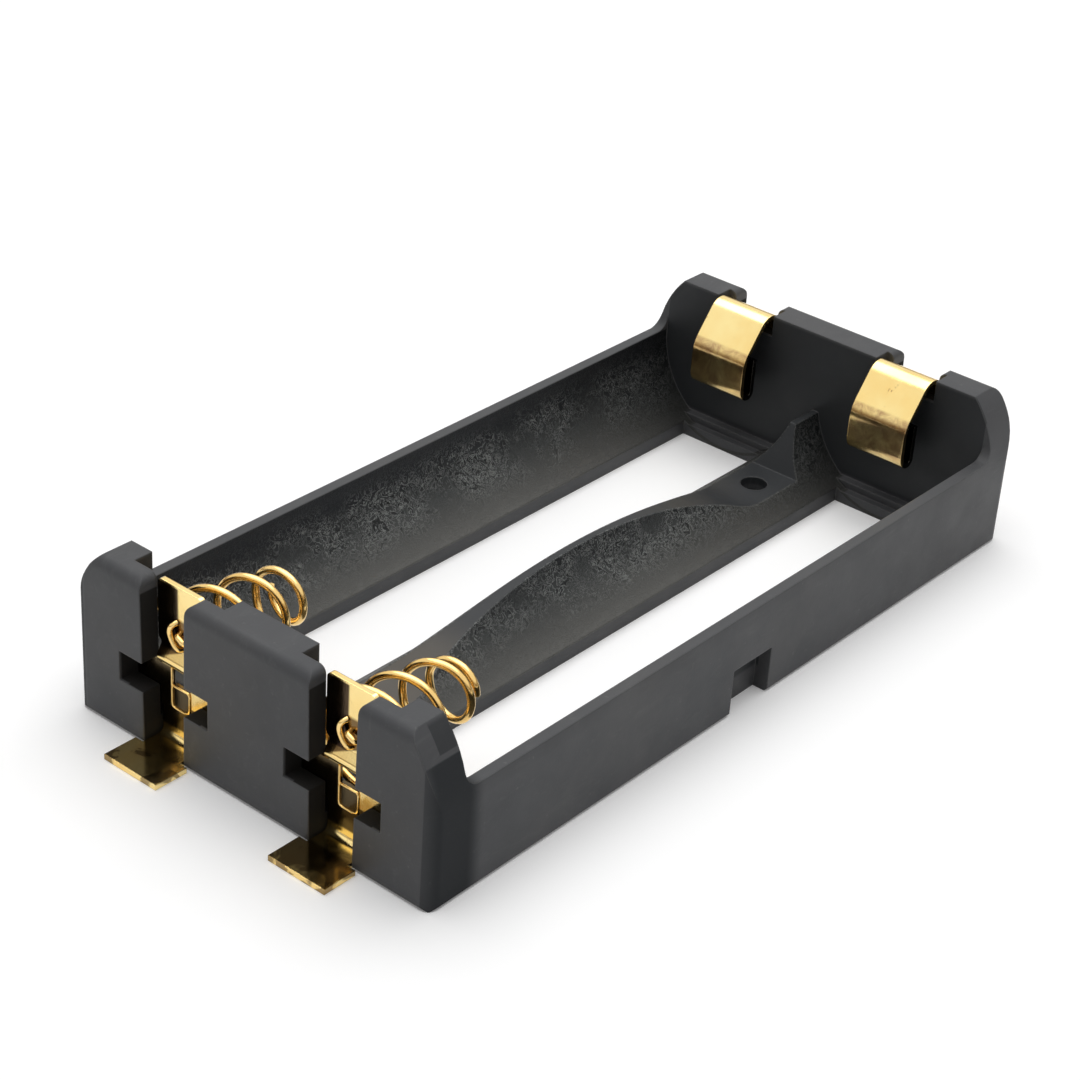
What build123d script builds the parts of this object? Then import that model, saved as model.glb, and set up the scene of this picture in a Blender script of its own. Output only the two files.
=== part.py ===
from build123d import *
import math
import os

# Two-bay holder for round cells, soldered to a board.
# X runs along the cells, Y runs across them and Z is up, all in millimetres.
# The origin is on the board, below the middle of the housing.
# Coil springs stand at the -X end of the bays and leaf springs at the +X end.

# Cells, and how they lie in the bays
cell_diameter = 18.3
cell_clearance = 0.15
cell_pitch = 18.9
cell_above_board = 0.15

# Housing
bay_length = 73.4
end_wall = 3.8
side_wall = 1.15
side_height = 9.8
tower_height = 15.6
shoulder_start = 8.5
top_round = 1.1
corner_round = 1.2
base_chamfer = 0.3
tower_foot_round = 1.5

# Windows in the floor and the stepped ledges at their ends
window_width = 9.7
window_end_margin = 1.7
ledge_height = 1.25
step_height = 2.0
step_length = 0.9

# Spine between the bays
crest_height = 7.52
hump_radius = 62.0
sweep_radius = 8.0
platform_height = 3.0
ridge_height = 7.5
ramp_end_margin = 3.7
ramp_length = 2.3
screw_hole = 2.6
screw_hole_margin = 9.4

# Openings in the end walls that hold the contacts
lip = 1.9
mouth_bottom = 4.7
mouth_top = 5.2
mouth_round = 0.7
pocket_width = 10.4
pocket_bottom = 5.0
pocket_height = 2.8
spring_channel_width = 10.4
leaf_channel_width = 6.8
leaf_channel_depth = 2.2
leaf_side_gap = 0.3

# Notches at the foot of the side walls
notch_width = 5.4
notch_height = 4.6
notch_depth = 1.5

# Folded contacts
sheet = 0.5
seat_gap = 0.05
foot_bend = 0.6
plate_width = 5.1
plate_corner = 0.5
plate_top_drop = 0.4
barb_low = 3.6
barb_high = 7.2
barb_slope = 0.9
barb_gap = 0.1
neck_gap = 0.15
foot_width = 6.1
foot_reach = 3.7
pad_gap = 0.3
window_tab_width = 2.3
window_tab_low = 3.5
window_tab_height = 2.1
window_tab_gap = 0.15
rib_low = 7.5
rib_crest = 8.0
rib_high = 9.1
rib_reach = 0.65
rib_bend = 0.1

# Leaf springs
leaf_reach = 3.98
leaf_top_drop = 0.05
leaf_fold_radius = 1.6
leaf_knee_drop = 2.1
leaf_knee_radius = 3.0
leaf_bottom = 7.2
leaf_front_bend = 1.2
leaf_hook = 1.7
leaf_return_drop = 0.2

# Coil springs
wire = 0.7
wire_sides = 8
coil_base_diameter = 9.4
coil_tip_diameter = 4.9
coil_pitch = 3.85
coil_half_turns = 5
coil_turn_gap = 0.1
coil_gap = 0.05
coil_room = 0.3

# Values that follow from the sizes above
bay_radius = cell_diameter / 2 + cell_clearance
axis_height = bay_radius + cell_above_board
axis_y = cell_pitch / 2
half_width = axis_y + bay_radius + side_wall
inner_x = bay_length / 2
half_length = inner_x + end_wall
lip_back = half_length - lip
neck_back = lip_back - sheet - 2 * seat_gap
shoulder_radius = bay_radius + side_wall
window_end = inner_x - window_end_margin
spring_channel_bottom = axis_height - coil_base_diameter / 2 - coil_room
leaf_channel_bottom = tower_height - leaf_channel_depth


def end_outline():
    """Front view of the housing: straight sides that turn into round shoulders over the bays."""
    rise = tower_height - shoulder_start
    run = math.sqrt(shoulder_radius**2 - rise**2)
    half_angle = math.atan2(rise, run) / 2
    mid_y = axis_y + shoulder_radius * math.cos(half_angle)
    mid_z = shoulder_start + shoulder_radius * math.sin(half_angle)
    top_y = axis_y + run
    base = Polyline(
        (-half_width, shoulder_start),
        (-half_width, base_chamfer),
        (-half_width + base_chamfer, 0),
        (half_width - base_chamfer, 0),
        (half_width, base_chamfer),
        (half_width, shoulder_start),
    )
    right = ThreePointArc((half_width, shoulder_start), (mid_y, mid_z), (top_y, tower_height))
    top = Line((top_y, tower_height), (-top_y, tower_height))
    left = ThreePointArc((-top_y, tower_height), (-mid_y, mid_z), (-half_width, shoulder_start))
    return make_face([base, right, top, left])


def side_outline():
    """Side view of the housing: low side walls that sweep up into a tower at each end."""
    foot_z = side_height + tower_foot_round
    turn = 1 - math.sqrt(0.5)
    edges = [
        Polyline(
            (-half_length, tower_height - top_round),
            (-half_length, base_chamfer),
            (-half_length + base_chamfer, 0),
            (half_length - base_chamfer, 0),
            (half_length, base_chamfer),
            (half_length, tower_height - top_round),
        ),
        Line((inner_x - tower_foot_round, side_height), (-inner_x + tower_foot_round, side_height)),
    ]
    for s in (-1, 1):
        edges.append(
            ThreePointArc(
                (s * half_length, tower_height - top_round),
                (s * (half_length - top_round * turn), tower_height - top_round * turn),
                (s * (half_length - top_round), tower_height),
            )
        )
        edges.append(
            Polyline(
                (s * (half_length - top_round), tower_height),
                (s * inner_x, tower_height),
                (s * inner_x, foot_z),
            )
        )
        edges.append(
            ThreePointArc(
                (s * inner_x, foot_z),
                (s * (inner_x - tower_foot_round * turn), side_height + tower_foot_round * turn),
                (s * (inner_x - tower_foot_round), side_height),
            )
        )
    return make_face(edges)


def above_spine():
    """Side view of the space over the spine: a long hump, two low platforms and two ramps."""
    drop = hump_radius - crest_height
    reach = math.sqrt((hump_radius + sweep_radius) ** 2 - (drop + platform_height + sweep_radius) ** 2)
    share = hump_radius / (hump_radius + sweep_radius)
    meet_x = reach * share
    meet_z = -drop + (drop + platform_height + sweep_radius) * share
    lean = math.atan2(reach, drop + platform_height + sweep_radius) / 2
    mid_x = reach - sweep_radius * math.sin(lean)
    mid_z = platform_height + sweep_radius - sweep_radius * math.cos(lean)
    ramp_x = inner_x - ramp_end_margin - ramp_length
    clear = tower_height + 1
    edges = [ThreePointArc((-meet_x, meet_z), (0, crest_height), (meet_x, meet_z))]
    for s in (-1, 1):
        edges.append(
            ThreePointArc(
                (s * meet_x, meet_z),
                (s * mid_x, mid_z),
                (s * reach, platform_height),
            )
        )
        edges.append(
            Polyline(
                (s * reach, platform_height),
                (s * ramp_x, platform_height),
                (s * (ramp_x + ramp_length), ridge_height),
                (s * inner_x, ridge_height),
                (s * inner_x, clear),
            )
        )
    edges.append(Line((-inner_x, clear), (inner_x, clear)))
    return make_face(edges)


def mouth_outline():
    """Front view of a contact's opening: it widens upwards and its top corners are round."""
    turn = 1 - math.sqrt(0.5)
    low = mouth_bottom / 2
    high = mouth_top / 2
    clear = tower_height + 1
    edges = [Line((-low, -1), (low, -1)), Line((-high - mouth_round, clear), (high + mouth_round, clear))]
    for s in (-1, 1):
        edges.append(Line((s * low, -1), (s * high, tower_height - mouth_round)))
        edges.append(
            ThreePointArc(
                (s * high, tower_height - mouth_round),
                (s * (high + mouth_round * turn), tower_height - mouth_round * turn),
                (s * (high + mouth_round), tower_height),
            )
        )
        edges.append(Line((s * (high + mouth_round), tower_height), (s * (high + mouth_round), clear)))
    return make_face(edges)


def block(x0, x1, y0, y1, z0, z1):
    """Box between two corners."""
    size = Box(x1 - x0, y1 - y0, z1 - z0)
    return Pos((x0 + x1) / 2, (y0 + y1) / 2, (z0 + z1) / 2) * size


def make_housing():
    """One moulding: two round-bottomed bays, a spine, low side walls and slotted end towers."""
    front = extrude(Plane.YZ * end_outline(), half_length + 1, both=True)
    side = extrude(Plane.XZ * side_outline(), half_width + 1, both=True)
    plan = extrude(RectangleRounded(2 * half_length, 2 * half_width, corner_round), tower_height + 1)
    body = front & side & plan

    cutters = []
    inside = axis_y + bay_radius
    cutters.append(block(-inner_x, inner_x, -inside, inside, axis_height, tower_height + 1))
    cutters.append(extrude(Plane.XZ * above_spine(), axis_y, both=True))
    for s in (-1, 1):
        bay = Cylinder(bay_radius, bay_length, rotation=(0, 90, 0))
        cutters.append(Pos(0, s * axis_y, axis_height) * bay)
    body = body - cutters

    ledges = []
    step_y = math.sqrt(bay_radius**2 - (axis_height - step_height) ** 2) + 0.5
    for s in (-1, 1):
        y0 = s * axis_y - step_y
        y1 = s * axis_y + step_y
        for e in (-1, 1):
            x0 = min(e * window_end, e * inner_x)
            x1 = max(e * window_end, e * inner_x)
            ledges.append(block(x0, x1, y0, y1, 0, ledge_height))
            x0 = min(e * (inner_x - step_length), e * inner_x)
            x1 = max(e * (inner_x - step_length), e * inner_x)
            ledges.append(block(x0, x1, y0, y1, 0, step_height))
    body = body + ledges

    cutters = []
    for s in (-1, 1):
        y = s * axis_y
        half = window_width / 2
        cutters.append(block(-window_end, window_end, y - half, y + half, -1, ledge_height + 1))
        mouth = extrude(Plane.YZ * mouth_outline(), half_length + 1 - neck_back)
        cutters.append(Pos(neck_back, y, 0) * mouth)
        cutters.append(Pos(-half_length - 1, y, 0) * mouth)
        half = pocket_width / 2
        top = pocket_bottom + pocket_height
        cutters.append(block(lip_back, half_length + 1, y - half, y + half, pocket_bottom, top))
        cutters.append(block(-half_length - 1, -lip_back, y - half, y + half, pocket_bottom, top))
        top = tower_height + 1
        half = spring_channel_width / 2
        cutters.append(block(-lip_back, -neck_back, y - half, y + half, step_height, top))
        cutters.append(block(-lip_back, -inner_x, y - half, y + half, spring_channel_bottom, top))
        half = leaf_channel_width / 2
        cutters.append(block(neck_back, lip_back, y - half, y + half, step_height, top))
        cutters.append(block(inner_x, lip_back, y - half, y + half, leaf_channel_bottom, top))
        y0 = min(s * half_width, s * (half_width - notch_depth))
        y1 = max(s * half_width, s * (half_width - notch_depth))
        cutters.append(block(-notch_width / 2, notch_width / 2, y0, y1, 0, notch_height))
        hole_x = s * (inner_x - screw_hole_margin)
        cutters.append(Pos(hole_x, 0, 0) * Cylinder(screw_hole / 2, 2 * platform_height + 2))
    return body - cutters


def strip_face(points, radii, thickness):
    """Side view of a folded strip: straight runs joined by bends, with one even thickness."""
    half = thickness / 2
    count = len(points)
    dirs = []
    for i in range(count - 1):
        dx = points[i + 1][0] - points[i][0]
        dz = points[i + 1][1] - points[i][1]
        size = math.hypot(dx, dz)
        dirs.append((dx / size, dz / size))
    sides = []
    for side in (1, -1):
        edges = []
        last = (points[0][0] - side * half * dirs[0][1], points[0][1] + side * half * dirs[0][0])
        for i in range(1, count - 1):
            ax, az = dirs[i - 1]
            bx, bz = dirs[i]
            cross = ax * bz - az * bx
            turn = math.atan2(cross, ax * bx + az * bz)
            way = 1 if cross > 0 else -1
            r = radii[i - 1]
            back = r * math.tan(abs(turn) / 2)
            start = (points[i][0] - ax * back, points[i][1] - az * back)
            centre = (start[0] - way * r * az, start[1] + way * r * ax)
            rr = r - way * side * half
            p = (centre[0] + way * rr * az, centre[1] - way * rr * ax)
            q = (centre[0] + way * rr * bz, centre[1] - way * rr * bx)
            mx = az + bz
            mz = -(ax + bx)
            size = math.hypot(mx, mz)
            m = (centre[0] + way * rr * mx / size, centre[1] + way * rr * mz / size)
            edges.append(Line(last, p))
            edges.append(ThreePointArc(p, m, q))
            last = q
        bx, bz = dirs[-1]
        end = (points[-1][0] - side * half * bz, points[-1][1] + side * half * bx)
        edges.append(Line(last, end))
        sides.append((edges, end))
    sx, sz = dirs[0]
    first = (points[0][0] - half * sz, points[0][1] + half * sx)
    other = (points[0][0] + half * sz, points[0][1] - half * sx)
    caps = [Line(first, other), Line(sides[0][1], sides[1][1])]
    return make_face(sides[0][0] + sides[1][0] + caps)


def plate_outline(width, low, top, channel):
    """Front view of a contact behind the lips: neck, barbs that bite into the channel, and plate."""
    neck = mouth_bottom / 2 - neck_gap
    tip = channel / 2 - barb_gap
    stem = Pos(0, low / 2) * Rectangle(2 * neck, low + 2)
    plate = Pos(0, (low + top) / 2) * RectangleRounded(width, top - low, plate_corner)
    barbs = make_face(
        Polyline(
            (-neck, barb_low),
            (-tip, barb_low + barb_slope),
            (-tip, barb_high),
            (tip, barb_high),
            (tip, barb_low + barb_slope),
            (neck, barb_low),
            close=True,
        )
    )
    return stem + plate + barbs


def make_contact(extra_points, extra_radii, width, low, top, channel):
    """Folded contact on the +X end of a bay, centred on Y: foot, neck, plate and what follows it."""
    plate_x = lip_back - seat_gap - sheet / 2
    foot_z = sheet / 2
    foot_end = half_length + foot_reach
    points = [(foot_end, foot_z), (plate_x, foot_z), (plate_x, rib_low)]
    points = points + [(plate_x + rib_reach, rib_crest), (plate_x, rib_high)]
    radii = [foot_bend + sheet / 2] + [rib_bend + sheet / 2] * 3
    face = strip_face(points + extra_points, radii + extra_radii, sheet)
    strip = extrude(Plane.XZ * face, pocket_width, both=True)
    neck = mouth_bottom / 2 - neck_gap
    pad_start = half_length + pad_gap
    half = foot_width / 2
    outline = Plane.YZ * plate_outline(width, low, top, channel)
    allowed = Pos(neck_back, 0, 0) * extrude(outline, lip_back - neck_back)
    allowed = allowed + block(0, neck_back, -width / 2, width / 2, 0, top)
    allowed = allowed + block(neck_back, pad_start + sheet, -neck, neck, 0, low)
    allowed = allowed + block(pad_start, foot_end + sheet, -half, half, 0, barb_low)
    half = window_tab_width / 2
    window = block(lip_back - 1, lip_back, -half, half, window_tab_low, barb_high)
    half = half - window_tab_gap
    window = window - block(0, lip_back, -half, half, 0, window_tab_low + window_tab_height)
    return (strip & allowed) - window


def make_spring_contact():
    """Contact behind a coil spring: the plate ends just below the top of the tower."""
    plate_x = lip_back - seat_gap - sheet / 2
    top = tower_height - plate_top_drop
    low = rib_high + sheet / 2
    return make_contact([(plate_x, top)], [], plate_width, low, top, spring_channel_width)


def make_leaf_contact():
    """Contact that folds over at the top into a leaf with a hooked lower end."""
    half = sheet / 2
    plate_x = lip_back - seat_gap - half
    nose_x = inner_x - leaf_reach + half
    fold = leaf_fold_radius
    fold_x = plate_x - fold
    fold_z = tower_height - leaf_top_drop - half - fold
    gap_x = fold_x - nose_x
    lean = math.atan2(leaf_knee_drop, gap_x) + math.asin(fold / math.hypot(gap_x, leaf_knee_drop))
    touch_x = fold_x - fold * math.sin(lean)
    touch_z = fold_z + fold * math.cos(lean)
    corner = (plate_x, touch_z + (plate_x - touch_x) * math.tan(lean))
    knee = fold_z - leaf_knee_drop
    low = leaf_bottom + half
    hook_x = nose_x + leaf_hook
    hook_top = knee - leaf_return_drop
    extra = [corner, (nose_x, knee), (nose_x, low), (hook_x, low), (hook_x, hook_top)]
    radii = [fold, leaf_knee_radius, leaf_front_bend, leaf_hook - leaf_front_bend - 0.01]
    width = leaf_channel_width - 2 * leaf_side_gap
    plate_low = rib_high + half
    return make_contact(extra, radii, width, plate_low, tower_height, leaf_channel_width)


def make_coil():
    """Conical coil spring along X, made of half turns that grow smaller towards its free end."""
    closed = (wire + coil_turn_gap) / 2
    steps = [closed] + [coil_pitch / 2] * coil_half_turns + [closed] * 3
    x = -lip_back + seat_gap + sheet + coil_gap + wire / 2
    radius = (coil_base_diameter - wire) / 2
    shrink = (coil_base_diameter - coil_tip_diameter) / 2 / len(steps)
    side = 1
    wire_section = RegularPolygon(wire / 2, wire_sides)
    halves = []
    for step in steps:
        section = Plane(origin=(x, side * radius, 0), z_dir=(0, 0, side)) * wire_section
        across = 2 * radius - shrink
        axis = Axis((x + step / 2, side * shrink / 2, 0), (across, side * step, 0))
        halves.append(revolve(section, axis, 180))
        x = x + step
        radius = radius - shrink
        side = -side
    return halves[0].fuse(*halves[1:])


parts = {"housing": make_housing()}
spring_contact = make_spring_contact().rotate(Axis.Z, 180)
leaf_contact = make_leaf_contact()
coil = make_coil()
for side_name, s in (("left", 1), ("right", -1)):
    parts["spring_contact_" + side_name] = Pos(0, s * axis_y, 0) * spring_contact
    parts["leaf_contact_" + side_name] = Pos(0, s * axis_y, 0) * leaf_contact
    turned = coil if s > 0 else coil.rotate(Axis.X, 180)
    parts["coil_spring_" + side_name] = Pos(0, s * axis_y, axis_height) * turned

os.makedirs("parts", exist_ok=True)
for name, shape in parts.items():
    export_step(shape, "parts/" + name + ".step")
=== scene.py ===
import math

import bpy
from mathutils import Matrix, Vector


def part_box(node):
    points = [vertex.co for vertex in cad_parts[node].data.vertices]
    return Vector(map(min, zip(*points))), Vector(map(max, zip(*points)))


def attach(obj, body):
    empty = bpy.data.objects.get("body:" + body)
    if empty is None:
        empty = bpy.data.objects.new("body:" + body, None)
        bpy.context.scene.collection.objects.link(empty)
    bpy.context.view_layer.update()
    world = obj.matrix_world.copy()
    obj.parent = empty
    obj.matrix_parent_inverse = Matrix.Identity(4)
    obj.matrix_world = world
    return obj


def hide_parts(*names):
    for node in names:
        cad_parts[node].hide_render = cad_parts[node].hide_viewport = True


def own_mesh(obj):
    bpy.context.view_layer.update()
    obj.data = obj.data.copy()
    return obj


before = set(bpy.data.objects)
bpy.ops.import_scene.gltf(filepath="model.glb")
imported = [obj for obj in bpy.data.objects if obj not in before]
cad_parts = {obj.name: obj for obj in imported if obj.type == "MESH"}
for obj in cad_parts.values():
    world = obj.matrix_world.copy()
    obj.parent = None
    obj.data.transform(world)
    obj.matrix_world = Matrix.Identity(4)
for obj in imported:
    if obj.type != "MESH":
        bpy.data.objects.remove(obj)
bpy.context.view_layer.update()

# Camera, found from the photograph: angles in degrees, place in metres
AZIMUTH = -51.4697
ELEVATION = 30.5306
ROLL = 3.9258
FOCAL_PIXELS = 2593.85
IMAGE_PIXELS = 1080
SENSOR_MM = 36.0
CAMERA_PLACE = (-0.156892, -0.120807, 0.124381)

# Sizes shared with the CAD part, in metres
MM = 0.001
CELL_PITCH = 18.9 * MM
AXIS_HEIGHT = 9.45 * MM
PLATE_FRONT = -38.55 * MM
COIL_WIRE = 0.7 * MM
COIL_BASE_DIAMETER = 9.4 * MM
COIL_TIP_DIAMETER = 4.9 * MM
COIL_PITCH = 3.85 * MM
COIL_HALF_TURNS = 5
COIL_TURN_GAP = 0.1 * MM

# Points drawn in each half turn of a coil, and between two points of a bent wire
HALF_TURN_POINTS = 24
BEND_POINTS = 8

# How far the rim of a tab stands before its plate, the softened edges, and the depth of the surface relief
RIM_LIFT = 0.04 * MM
HOUSING_EDGE = 0.22 * MM
SHEET_EDGE = 0.12 * MM
RELIEF_DEPTH = 0.03 * MM

# Height and length over which the bays change in shade
SHADE_HEIGHT = 10 * MM
SHADE_LENGTH = 80 * MM

# Levels of the surround for plain light and for reflections, the lamp, and the floor's own glow
SURROUND = 0.32
GLINT = 1.0
LAMP_WATTS = 7.6
LAMP_SIZE = 1.1
LAMP_PLACE = (0.10, 0.08, 0.8)
FLOOR_GLOW = 0.1
FLOOR_HALF = 3.0
FLOOR_DROP = 0.01 * MM
FLOOR_GREY = 0.93
FLOOR_GLOW_COLOUR = (1.0, 0.985, 0.98)
WHITE = (1.0, 1.0, 1.0)

# Colours, linear. The plastic:
PLASTIC_LOW, PLASTIC_HIGH = (0.056, 0.058, 0.062), (0.068, 0.068, 0.070)
PLASTIC_FLOW, PLASTIC_SPECK = (0.090, 0.092, 0.092), (0.105, 0.106, 0.104)
# Pale rubbed edges, partly wear and partly a painted edge highlight:
PLASTIC_WORN_HIGHLIGHT = (0.15, 0.15, 0.148)
# Painted shade inside, in the mouths and on the near flanks, and painted light on the spine's near end:
PLASTIC_INSIDE_SHADE, PLASTIC_MOUTH_SHADE = (0.018, 0.020, 0.022), (0.006, 0.005, 0.004)
PLASTIC_FLANK_SHADE, PLASTIC_SPINE_END_LIGHT = (0.012, 0.014, 0.016), (0.13, 0.115, 0.095)
# Painted light and shade in the bays, from low to high:
BAY_SHADE_LOW, BAY_SHADE_MIDDLE, BAY_SHADE_HIGH = (0.108, 0.106, 0.097), (0.058, 0.061, 0.060), (0.011, 0.013, 0.016)
# Dark gulfs of the grain, and its pale ridges, partly grain and partly painted glints:
GRAIN_DARK, GRAIN_PALE_GLINT = (0.004, 0.005, 0.006), (0.29, 0.30, 0.29)

# The gold plate, its spots, and its painted dark reflections and shade:
SHEET_DEEP, SHEET_PALE = (0.94, 0.67, 0.25), (0.98, 0.79, 0.36)
WIRE_DEEP, WIRE_PALE = (0.86, 0.56, 0.19), (0.94, 0.68, 0.28)
# Spots are the plate's own; the leaf, plate, margin, foot and neck browns are painted dark reflections:
SPOT_BROWN, LEAF_REFLECTION_BROWN, PLATE_REFLECTION_BROWN = (0.36, 0.19, 0.07), (0.34, 0.19, 0.10), (0.11, 0.055, 0.022)
MARGIN_REFLECTION_BROWN, FOOT_REFLECTION_BROWN, NECK_REFLECTION_BROWN = (0.05, 0.03, 0.02), (0.14, 0.08, 0.035), (0.035, 0.025, 0.018)
# Painted shade on the leaves' hooks:
HOOK_SHADE_GREY = (0.04, 0.04, 0.042)

# The surround as reflections show it, from the horizon up:
SURROUND_HORIZON, SURROUND_LOW = (0.20, 0.15, 0.12), (0.28, 0.22, 0.17)

# Zones of the housing, each as spans in millimetres: name of the measure, low, high, softness.
# "across" is Y from the middle of the nearer bay, "reach" the distance from that bay's axis,
# "out" the distance from the middle along X, "beside" the same along Y.
BAY_FACES = (("reach", 9.1, 9.42, 0.03), ("x", -36.6, 36.6, 0.1), ("y", -18.85, 18.85, 0.02), ("z", -1, 9.72, 0.03))
# Zones of painted shade: the inner faces, the mouths, their lips and the near flanks
SHADED_INNER_FACES = (("x", -38.7, 36.9, 0.05), ("y", -18.7, 18.7, 0.03), ("z", 2.2, 15.4, 0.2))
SHADED_MOUTHS = (("out", 37.0, 40.25, 0.12), ("across", -7.5, 7.5, 0.05), ("z", -1, 14.3, 0.1))
SHADED_LIPS = (("out", 37.0, 40.4, 0.08), ("across", -4.2, 4.2, 0.05), ("z", -1, 14.3, 0.1))
SHADED_NEAR_FLANKS = (("x", -40.5, -35.5, 1.0), ("beside", 18.9, 25, 0.05))
# Zone of painted light at the spine's near end
LIT_SPINE_NEAR_END = (("x", -36.6, -17, 3.0), ("y", -2.6, 2.6, 0.2), ("z", -1, 9.3, 0.1))
# Band of the grain and of its painted glints
GRAIN_BAND = (("z", 3.2, 8.0, 1.4),)

# Zones of the contacts, where dark reflections and shade are painted. "slant" is Z with a share of "across" added,
# because the painted dark reflections on the plates lie askew.
# Zone of painted dark reflection on the necks, with the tabs kept clear of it
NECKS = (("x", -40.35, -37.0, 0.1), ("z", 1.5, 7.3, 0.15))
TABS = (("across", -6.0, -1.15, 0.05), ("z", 4.2, 9.0, 0.1))
# Zone of painted dark reflection askew on the plates
PLATE_REFLECTION_PATCHES = (("x", -40.35, -38.4, 0.03), ("slant", 9.1, 15.0, 0.1), ("z", 8.0, 12.2, 0.2))
# Zone of painted dark reflection on the plates' margins
PLATE_MARGINS = (("x", -40.35, -38.4, 0.03), ("z", 9.0, 15.0, 0.05), ("across", 0.2, 4.0, 0.12))
# Zone of painted dark reflections on the feet
FEET = (("out", 40.5, 48, 0.2),)
# Zone of painted dark reflection on the lower part of the leaves
LEAVES = (("x", 30.0, 33.3, 0.1), ("z", 8.1, 12.8, 0.6))
# Zone of painted shade on the leaves' hooks
SHADED_LEAF_HOOKS = (("x", 33.3, 36.4, 0.05), ("z", 7.0, 12.3, 0.1))
REFLECTION_SLANT = 0.45

# Lines of the springs' tails, as millimetres out from the plate, across and up, and of a tab's rim, as across and up
HOOK_LINE = ((-0.1, 0.3, 11.9), (0.35, 0.6, 11.6), (0.45, 0.7, 11.0), (0.45, 0.3, 10.2), (0.3, -0.1, 9.7),
             (-0.1, -0.25, 9.6))
NUB_LINE = ((-0.1, 0.0, 11.0), (0.35, -0.15, 10.9), (0.45, -0.5, 10.8), (0.4, -0.9, 10.6), (-0.1, -1.0, 10.5))
RIM_LINE = ((0.98, 7.3), (0.98, 4.0), (0.9, 3.6), (0.6, 3.5), (-0.45, 3.5), (-0.95, 3.75), (-1.08, 4.2),
            (-1.08, 5.45), (-0.9, 5.6), (0.8, 5.6), (0.96, 5.5))


def make_camera():
    """Camera at the photograph's place, rolled as it is there."""
    a, e, r = (math.radians(v) for v in (AZIMUTH, ELEVATION, ROLL))
    ahead = Vector((-math.sin(a) * math.cos(e), math.cos(a) * math.cos(e), -math.sin(e)))
    right = Vector((math.cos(a), math.sin(a), 0))
    up = right.cross(ahead)
    rolled_right = math.cos(r) * right + math.sin(r) * up
    rolled_up = math.cos(r) * up - math.sin(r) * right
    data = bpy.data.cameras.new("camera")
    data.sensor_width = SENSOR_MM
    data.lens = SENSOR_MM * FOCAL_PIXELS / IMAGE_PIXELS
    data.clip_start = 0.01
    data.clip_end = 20
    camera = bpy.data.objects.new("camera", data)
    turn = Matrix((rolled_right, rolled_up, -ahead)).transposed().to_4x4()
    camera.matrix_world = Matrix.Translation(CAMERA_PLACE) @ turn
    bpy.context.scene.collection.objects.link(camera)
    bpy.context.scene.camera = camera


def add(tree, kind, **settings):
    """New shader node, with its settings and the default values of its sockets."""
    node = tree.nodes.new("ShaderNode" + kind)
    for name, value in settings.items():
        if hasattr(node, name):
            setattr(node, name, value)
        else:
            node.inputs[name.replace("_", " ").title()].default_value = value
    return node


def join(tree, start, end):
    """Link between two sockets."""
    tree.links.new(start, end)


def ramp(tree, source, *stops):
    """Colour ramp over a source value, from stops of place and grey level or colour."""
    node = add(tree, "ValToRGB")
    marks = node.color_ramp.elements
    while len(marks) < len(stops):
        marks.new(0.5)
    for mark, (place, value) in zip(marks, stops):
        mark.position = place
        mark.color = (value, value, value, 1) if isinstance(value, float) else (*value, 1)
    join(tree, source, node.inputs["Fac"])
    return node.outputs["Color"]


def noise(tree, place, scale, detail, roughness, distortion=0.0):
    """Noise value over a place, with a scale in cells per metre."""
    node = add(tree, "TexNoise", scale=scale, detail=detail, roughness=roughness, distortion=distortion)
    join(tree, place, node.inputs["Vector"])
    return node.outputs["Fac"]


def stretched(tree, place, x, y, z):
    """Place stretched along its axes."""
    node = add(tree, "Mapping", scale=(x, y, z))
    join(tree, place, node.inputs["Vector"])
    return node.outputs["Vector"]


def mix(tree, share, first, second, blend="MIX"):
    """Mix of two colours or sockets by a share or socket."""
    node = add(tree, "MixRGB", blend_type=blend)
    for socket, value in zip(node.inputs, (share, first, second)):
        if isinstance(value, bpy.types.NodeSocket):
            join(tree, value, socket)
        elif isinstance(value, tuple):
            socket.default_value = (*value, 1)
        else:
            socket.default_value = value
    return node.outputs["Color"]


def bump(tree, shader, height, strength, distance, normal):
    """Bump from a height, over a softened normal, into the shader."""
    node = add(tree, "Bump", strength=strength, distance=distance)
    join(tree, height, node.inputs["Height"])
    join(tree, normal, node.inputs["Normal"])
    join(tree, node.outputs["Normal"], shader.inputs["Normal"])


def math_node(tree, operation, first, second=0.0, third=0.0):
    """Result of one sum over sockets or numbers."""
    node = add(tree, "Math", operation=operation)
    for socket, value in zip(node.inputs, (first, second, third)):
        if isinstance(value, bpy.types.NodeSocket):
            join(tree, value, socket)
        else:
            socket.default_value = value
    return node.outputs["Value"]


def between(tree, value, low, high, soft):
    """One inside a span of values in metres and nought outside it, with soft ends."""
    steps = []
    for end in (low, high):
        step = add(tree, "MapRange", from_min=end - soft, from_max=end + soft, interpolation_type="SMOOTHSTEP")
        join(tree, value, step.inputs["Value"])
        steps.append(step.outputs["Result"])
    return math_node(tree, "SUBTRACT", *steps)


def product(tree, *values):
    """Product of several shares."""
    result = values[0]
    for value in values[1:]:
        result = math_node(tree, "MULTIPLY", result, value)
    return result


def outside(tree, share):
    """What is left of one after a share."""
    return math_node(tree, "SUBTRACT", 1.0, share)


def stain(tree, base, colour, *shares):
    """Base colour mixed towards a colour by the product of the shares."""
    return mix(tree, product(tree, *shares), base, colour)


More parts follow.
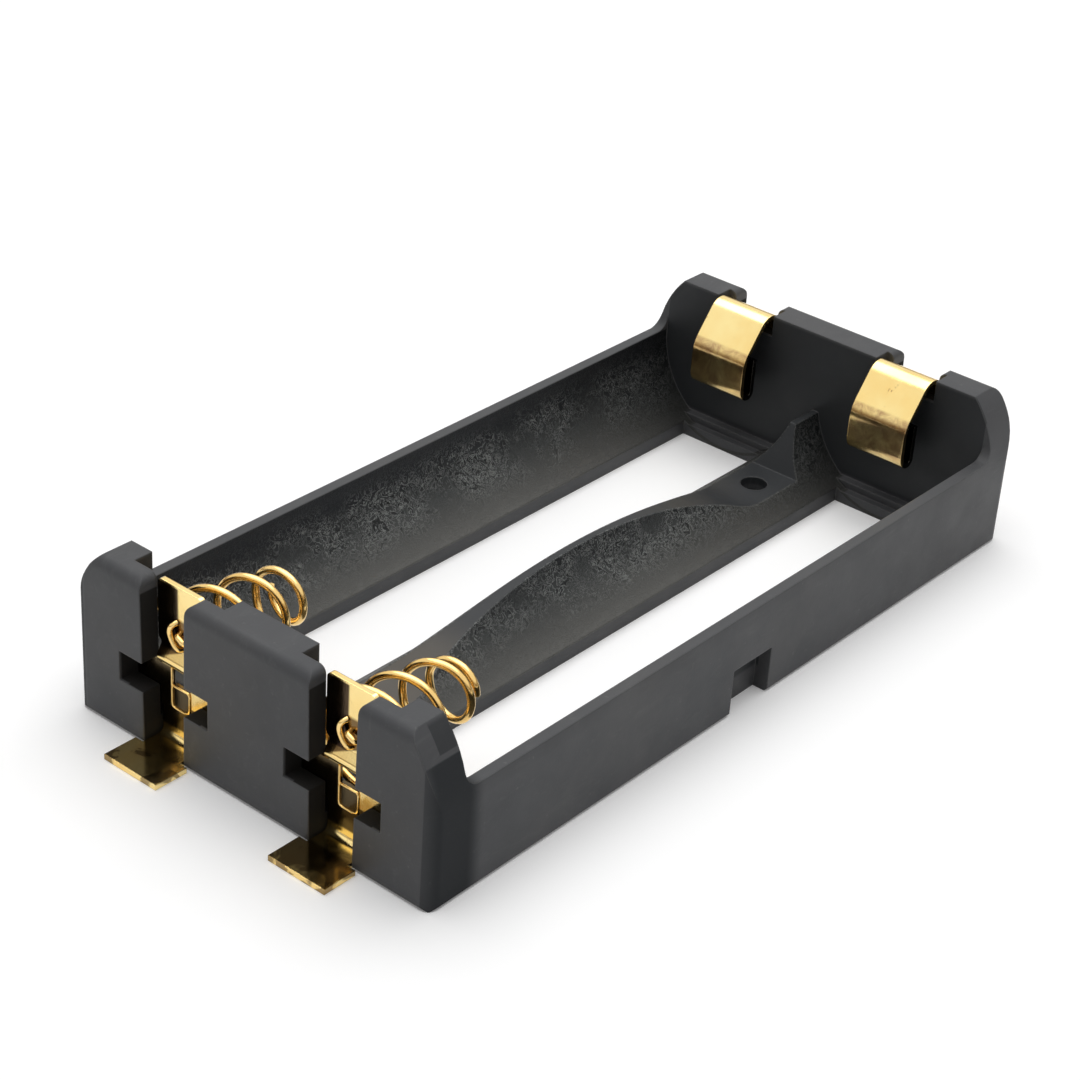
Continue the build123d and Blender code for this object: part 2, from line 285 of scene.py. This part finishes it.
def measures(tree, place):
    """Named measures of a place that both kinds of material use for their zones."""
    parts = add(tree, "SeparateXYZ")
    join(tree, place, parts.inputs["Vector"])
    x, y, z = parts.outputs
    shifted = math_node(tree, "SUBTRACT", y, CELL_PITCH / 2)
    across = math_node(tree, "WRAP", shifted, CELL_PITCH / 2, -CELL_PITCH / 2)
    return {"x": x, "y": y, "z": z, "across": across, "out": math_node(tree, "ABSOLUTE", x)}


def zone(tree, at, spans):
    """One inside all the spans of a zone, which are in millimetres."""
    return product(tree, *(between(tree, at[name], low * MM, high * MM, soft * MM) for name, low, high, soft in spans))


def start_material(name):
    """New node material, its tree and its shader."""
    material = bpy.data.materials.new(name)
    material.use_nodes = True
    tree = material.node_tree
    shader = tree.nodes["Principled BSDF"]
    return material, tree, shader


def housing_plastic():
    """Dark moulded plastic: satin outside, a crinkled grain in the bays with painted glints on its ridges, painted
    light and shade in the bays, painted shade inside, in the mouths and on the near flanks, painted light on the
    spine's near end, and pale rubbed edges, partly wear and partly a painted highlight.
    """
    material, tree, shader = start_material("housing_plastic")
    place = add(tree, "TexCoord").outputs["Object"]
    at = measures(tree, place)
    lift = math_node(tree, "SUBTRACT", at["z"], AXIS_HEIGHT)
    squares = [math_node(tree, "POWER", value, 2.0) for value in (at["across"], lift)]
    at["reach"] = math_node(tree, "SQRT", math_node(tree, "ADD", *squares))
    at["beside"] = math_node(tree, "ABSOLUTE", at["y"])
    in_bay = zone(tree, at, BAY_FACES)
    flank_shade = zone(tree, at, SHADED_NEAR_FLANKS)
    mouth_shade = math_node(tree, "MAXIMUM", zone(tree, at, SHADED_MOUTHS), zone(tree, at, SHADED_LIPS))
    inner_shade = math_node(tree, "MAXIMUM", zone(tree, at, SHADED_INNER_FACES), mouth_shade)

    # Edges, where the softened normal leaves the face's own, turn pale: partly wear and partly a painted edge
    # highlight
    soft = add(tree, "Bevel", samples=6, radius=HOUSING_EDGE)
    edge = add(tree, "VectorMath", operation="DOT_PRODUCT")
    join(tree, soft.outputs["Normal"], edge.inputs[0])
    join(tree, add(tree, "NewGeometry").outputs["Normal"], edge.inputs[1])
    worn_highlight = product(tree, ramp(tree, edge.outputs["Value"], (0.55, 0.7), (0.97, 0.0)), outside(tree, mouth_shade))

    # Clouds, flow marks and specks of the moulding
    clouds = noise(tree, place, 90.0, 5.0, 0.55)
    flow = noise(tree, stretched(tree, place, 0.35, 1.0, 1.0), 620.0, 6.0, 0.7, 1.2)
    specks = noise(tree, place, 1500.0, 3.0, 0.6)
    base = ramp(tree, clouds, (0.3, PLASTIC_LOW), (0.7, PLASTIC_HIGH))
    base = mix(tree, ramp(tree, flow, (0.55, 0.0), (0.8, 0.6)), base, PLASTIC_FLOW)
    base = mix(tree, ramp(tree, specks, (0.66, 0.0), (0.76, 0.6)), base, PLASTIC_SPECK)
    # Painted shade inside, in the mouths and on the near flanks
    base = stain(tree, base, PLASTIC_INSIDE_SHADE, inner_shade, 0.8)
    base = stain(tree, base, PLASTIC_MOUTH_SHADE, mouth_shade, 0.9)
    base = stain(tree, base, PLASTIC_FLANK_SHADE, flank_shade, 0.85)
    # Painted light on the spine's near end
    base = stain(tree, base, PLASTIC_SPINE_END_LIGHT, zone(tree, at, LIT_SPINE_NEAR_END), 0.6)

    # Painted light and shade in the bays: paler by the windows, darker at the rim and at the far end
    height = math_node(tree, "DIVIDE", at["z"], SHADE_HEIGHT)
    shade = ramp(tree, height, (0.1, BAY_SHADE_LOW), (0.45, BAY_SHADE_MIDDLE), (0.8, BAY_SHADE_HIGH))
    length = math_node(tree, "MULTIPLY_ADD", at["x"], 1 / SHADE_LENGTH, 0.5)
    far = ramp(tree, length, (0.0, 0.75), (0.35, 1.0), (0.6, 1.0), (0.95, 0.3))
    shade = mix(tree, 1.0, shade, far, "MULTIPLY")
    base = stain(tree, base, shade, in_bay, 0.9)

    # Crinkled grain, in patches along the middle of the bays' sides: dark gulfs, and pale ridges that are partly grain
    # and partly painted glints, fewer at the far end
    worms = noise(tree, place, 1250.0, 2.0, 0.6, 2.2)
    ridges = ramp(tree, worms, (0.455, 0.0), (0.50, 1.0), (0.545, 0.0))
    gulfs = ramp(tree, worms, (0.36, 1.0), (0.44, 0.0))
    patches = ramp(tree, noise(tree, place, 120.0, 4.0, 0.65), (0.40, 0.05), (0.53, 1.0))
    grain_and_glint = product(tree, in_bay, patches, zone(tree, at, GRAIN_BAND))
    base = stain(tree, base, GRAIN_DARK, gulfs, grain_and_glint, 0.9)
    base = stain(tree, base, GRAIN_PALE_GLINT, ridges, grain_and_glint, far, 0.95)
    # Pale edges: partly wear, partly a painted edge highlight
    base = mix(tree, worn_highlight, base, PLASTIC_WORN_HIGHLIGHT)
    join(tree, base, shader.inputs["Base Color"])

    # Satin gloss, duller in the mouths and on the near flanks
    gloss = ramp(tree, noise(tree, place, 260.0, 5.0, 0.6), (0.3, 0.40), (0.7, 0.55))
    gloss = stain(tree, gloss, (0.9, 0.9, 0.9), math_node(tree, "MAXIMUM", mouth_shade, flank_shade), 0.9)
    join(tree, gloss, shader.inputs["Roughness"])
    shader.inputs["Specular IOR Level"].default_value = 0.24
    grit = noise(tree, place, 5200.0, 3.0, 0.6)
    relief = math_node(tree, "MULTIPLY_ADD", product(tree, ridges, in_bay), 2.2, product(tree, grit, 0.6))
    bump(tree, shader, relief, 0.5, RELIEF_DEPTH, soft.outputs["Normal"])
    return material


def gilt(name, deep, pale, spots_from, gloss_low, gloss_high, painted_darks):
    """Gold plate on sprung metal: rolled grain, spots, uneven gloss and, by a share, painted dark reflections and
    shade on the contacts.
    """
    material, tree, shader = start_material(name)
    place = add(tree, "TexCoord").outputs["Object"]
    at = measures(tree, place)
    at["slant"] = math_node(tree, "MULTIPLY_ADD", at["across"], REFLECTION_SLANT, at["z"])
    base = ramp(tree, noise(tree, place, 240.0, 4.0, 0.5), (0.3, deep), (0.7, pale))
    blots = noise(tree, place, 900.0, 5.0, 0.65, 0.6)
    base = mix(tree, ramp(tree, blots, (spots_from, 0.0), (spots_from + 0.1, 1.0)), base, SPOT_BROWN)

    # Painted dark reflections on the leaves, plates, feet and necks, and painted shade on the leaves' hooks
    mottle = ramp(tree, noise(tree, place, 420.0, 6.0, 0.7, 0.8), (0.38, 0.25), (0.58, 0.95))
    pools = ramp(tree, noise(tree, place, 230.0, 3.0, 0.5, 1.5), (0.50, 0.0), (0.54, 1.0))
    neck = product(tree, zone(tree, at, NECKS), outside(tree, zone(tree, at, TABS)))
    # Painted dark reflection, mottled, on the lower part of the leaves
    base = stain(tree, base, LEAF_REFLECTION_BROWN, zone(tree, at, LEAVES), mottle, 0.8 * painted_darks)
    # Painted shade on the leaves' hooks, behind their fronts
    base = stain(tree, base, HOOK_SHADE_GREY, zone(tree, at, SHADED_LEAF_HOOKS), 0.98 * painted_darks)
    # Painted dark reflection askew on the plates
    base = stain(tree, base, PLATE_REFLECTION_BROWN, zone(tree, at, PLATE_REFLECTION_PATCHES), 0.9 * painted_darks)
    # Painted dark reflection on the plates' margins, of the dark lips beside them
    base = stain(tree, base, MARGIN_REFLECTION_BROWN, zone(tree, at, PLATE_MARGINS), 0.97 * painted_darks)
    # Painted dark reflections, in pools, on the feet
    base = stain(tree, base, FOOT_REFLECTION_BROWN, zone(tree, at, FEET), pools, 0.75 * painted_darks)
    # Painted dark reflection on the necks, clear of the tabs
    base = stain(tree, base, NECK_REFLECTION_BROWN, neck, 0.93 * painted_darks)
    join(tree, base, shader.inputs["Base Color"])
    shader.inputs["Metallic"].default_value = 1.0
    gloss = ramp(tree, noise(tree, place, 700.0, 5.0, 0.6), (0.3, gloss_low), (0.7, gloss_high))
    join(tree, gloss, shader.inputs["Roughness"])

    # Rolling lines and small dents
    soft = add(tree, "Bevel", samples=6, radius=SHEET_EDGE)
    rolled = noise(tree, stretched(tree, place, 1.0, 8.0, 1.0), 900.0, 3.0, 0.5)
    dents = noise(tree, place, 520.0, 4.0, 0.6)
    relief = math_node(tree, "MULTIPLY_ADD", dents, 1.6, rolled)
    bump(tree, shader, relief, 0.16, RELIEF_DEPTH, soft.outputs["Normal"])
    return material


def dress(obj, material):
    """Gives a piece this material alone."""
    obj.data.materials.clear()
    obj.data.materials.append(material)


def coil_points(x, y, z, way):
    """Centre line of a conical spring as half turns, from its plate end to its free end.

    The first half turn and the last two lie close, and way is 1 or -1 for the side on which it starts."""
    closed = (COIL_WIRE + COIL_TURN_GAP) / 2
    steps = [closed] + [COIL_PITCH / 2] * COIL_HALF_TURNS + [1.5 * closed] * 2
    radius = (COIL_BASE_DIAMETER - COIL_WIRE) / 2
    shrink = (COIL_BASE_DIAMETER - COIL_TIP_DIAMETER) / 2 / len(steps)
    points = []
    for step in steps:
        across = radius - shrink / 2
        reach = math.hypot(step / 2, across)
        for k in range(HALF_TURN_POINTS):
            turn = math.pi * k / HALF_TURN_POINTS
            along = x + step * (1 - math.cos(turn)) / 2
            beside = way * (shrink / 2 + across * math.cos(turn))
            points.append((along, y + beside, z + way * reach * math.sin(turn)))
        x = x + step
        radius = radius - shrink
        way = -way
    points.append((x, y + way * radius, z))
    return points


def tube(name, points, diameter, material):
    """Round wire along points, as a mesh with closed ends."""
    data = bpy.data.curves.new(name + "_line", "CURVE")
    data.dimensions = "3D"
    data.bevel_depth = diameter / 2
    data.bevel_resolution = 4
    data.use_fill_caps = True
    spline = data.splines.new("POLY")
    spline.points.add(len(points) - 1)
    for mark, place in zip(spline.points, points):
        mark.co = (*place, 1)
    line = bpy.data.objects.new(name + "_line", data)
    bpy.context.scene.collection.objects.link(line)
    bpy.context.view_layer.update()
    mesh = bpy.data.meshes.new_from_object(line.evaluated_get(bpy.context.evaluated_depsgraph_get()))
    bpy.data.objects.remove(line)
    for face in mesh.polygons:
        face.use_smooth = True
    wire = bpy.data.objects.new(name, mesh)
    bpy.context.scene.collection.objects.link(wire)
    dress(wire, material)
    return wire


def make_coils(material):
    """Round wire springs in place of the CAD ones, which flatten towards their plates."""
    for side, way in (("left", 1), ("right", -1)):
        node = "coil_spring_" + side
        low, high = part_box(node)
        y, z = way * CELL_PITCH / 2, AXIS_HEIGHT
        line = coil_points(low.x + COIL_WIRE / 2, y, z, way)
        wire = tube("spring_wire_" + side, line, COIL_WIRE, material)
        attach(wire, "housing")
        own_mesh(wire)
        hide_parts(node)


def smooth_line(points):
    """Points of a smooth line through given points, as a cubic between each two of them."""
    ends = [points[0]] + list(points) + [points[-1]]
    line = []
    for i in range(1, len(ends) - 2):
        a, b, c, d = (Vector(p) for p in ends[i - 1 : i + 3])
        for k in range(BEND_POINTS):
            t = k / BEND_POINTS
            line.append(tuple(0.5 * ((2 * b) + (c - a) * t + (2 * a - 5 * b + 4 * c - d) * t * t
                                     + (3 * b - a - 3 * c + d) * t**3)))
    line.append(tuple(points[-1]))
    return line


def make_tails(material):
    """Wire tails of the springs, bent round in front of the plates, and the raised rims of the tabs."""
    for side, way in (("left", 1), ("right", -1)):
        y = way * CELL_PITCH / 2
        for name, points in (("spring_hook_", HOOK_LINE), ("spring_nub_", NUB_LINE)):
            line = [(PLATE_FRONT - out * MM, y + across * MM, up * MM) for out, across, up in points]
            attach(tube(name + side, smooth_line(line), 0.55 * MM, material), "housing")
        line = [(PLATE_FRONT - RIM_LIFT, y + across * MM, up * MM) for across, up in RIM_LINE]
        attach(tube("tab_rim_" + side, line, 0.22 * MM, material), "housing")


def background_seen(tree):
    """One for rays from the camera or through glass, and the outputs of the ray node."""
    rays = add(tree, "LightPath").outputs
    return math_node(tree, "MAXIMUM", rays["Is Camera Ray"], rays["Is Transmission Ray"]), rays


def make_floor():
    """Pale floor, white to the camera and in reflections, that keeps the shadows."""
    half = FLOOR_HALF
    corners = [(-half, -half, 0), (half, -half, 0), (half, half, 0), (-half, half, 0)]
    mesh = bpy.data.meshes.new("floor")
    mesh.from_pydata(corners, [], [(0, 1, 2, 3)])
    floor = bpy.data.objects.new("floor", mesh)
    floor.location.z = -FLOOR_DROP
    bpy.context.scene.collection.objects.link(floor)
    material, tree, shader = start_material("floor_paper")
    shader.inputs["Base Color"].default_value = (FLOOR_GREY, FLOOR_GREY, FLOOR_GREY, 1)
    shader.inputs["Roughness"].default_value = 0.6
    shader.inputs["Specular IOR Level"].default_value = 0.2
    seen, rays = background_seen(tree)
    seen = math_node(tree, "MAXIMUM", seen, rays["Is Glossy Ray"])
    shader.inputs["Emission Color"].default_value = (*FLOOR_GLOW_COLOUR, 1)
    join(tree, product(tree, seen, FLOOR_GLOW), shader.inputs["Emission Strength"])
    dress(floor, material)


def make_light():
    """Plain studio light: a white surround, darker towards the horizon in reflections, and one large soft lamp."""
    world = bpy.data.worlds.new("studio")
    bpy.context.scene.world = world
    world.use_nodes = True
    tree = world.node_tree
    back = tree.nodes["Background"]
    seen, rays = background_seen(tree)
    level = math_node(tree, "MULTIPLY_ADD", seen, 1.0 - SURROUND, SURROUND)
    level = math_node(tree, "MULTIPLY_ADD", rays["Is Glossy Ray"], GLINT - SURROUND, level)
    parts = add(tree, "SeparateXYZ")
    join(tree, add(tree, "TexCoord").outputs["Generated"], parts.inputs["Vector"])
    rise = ramp(tree, parts.outputs["Z"], (0.0, SURROUND_HORIZON), (0.10, SURROUND_LOW), (0.30, WHITE))
    tint = mix(tree, rays["Is Glossy Ray"], WHITE, rise)
    join(tree, tint, back.inputs["Color"])
    join(tree, level, back.inputs["Strength"])
    data = bpy.data.lights.new("softbox", "AREA")
    data.shape = "SQUARE"
    data.size = LAMP_SIZE
    data.energy = LAMP_WATTS
    lamp = bpy.data.objects.new("softbox", data)
    lamp.location = LAMP_PLACE
    lamp.rotation_euler = (Vector((0, 0, 0)) - lamp.location).to_track_quat("-Z", "Y").to_euler()
    bpy.context.scene.collection.objects.link(lamp)


make_camera()
plastic = housing_plastic()
gilt_sheet = gilt("gilt_sheet", SHEET_DEEP, SHEET_PALE, 0.64, 0.10, 0.22, painted_darks=1.0)
gilt_wire = gilt("gilt_wire", WIRE_DEEP, WIRE_PALE, 0.72, 0.12, 0.24, painted_darks=0.0)
dress(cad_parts["housing"], plastic)
for side in ("left", "right"):
    dress(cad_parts["spring_contact_" + side], gilt_sheet)
    dress(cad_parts["leaf_contact_" + side], gilt_sheet)
make_coils(gilt_wire)
make_tails(gilt_wire)
make_floor()
make_light()
bpy.context.scene.view_settings.view_transform = "Standard"
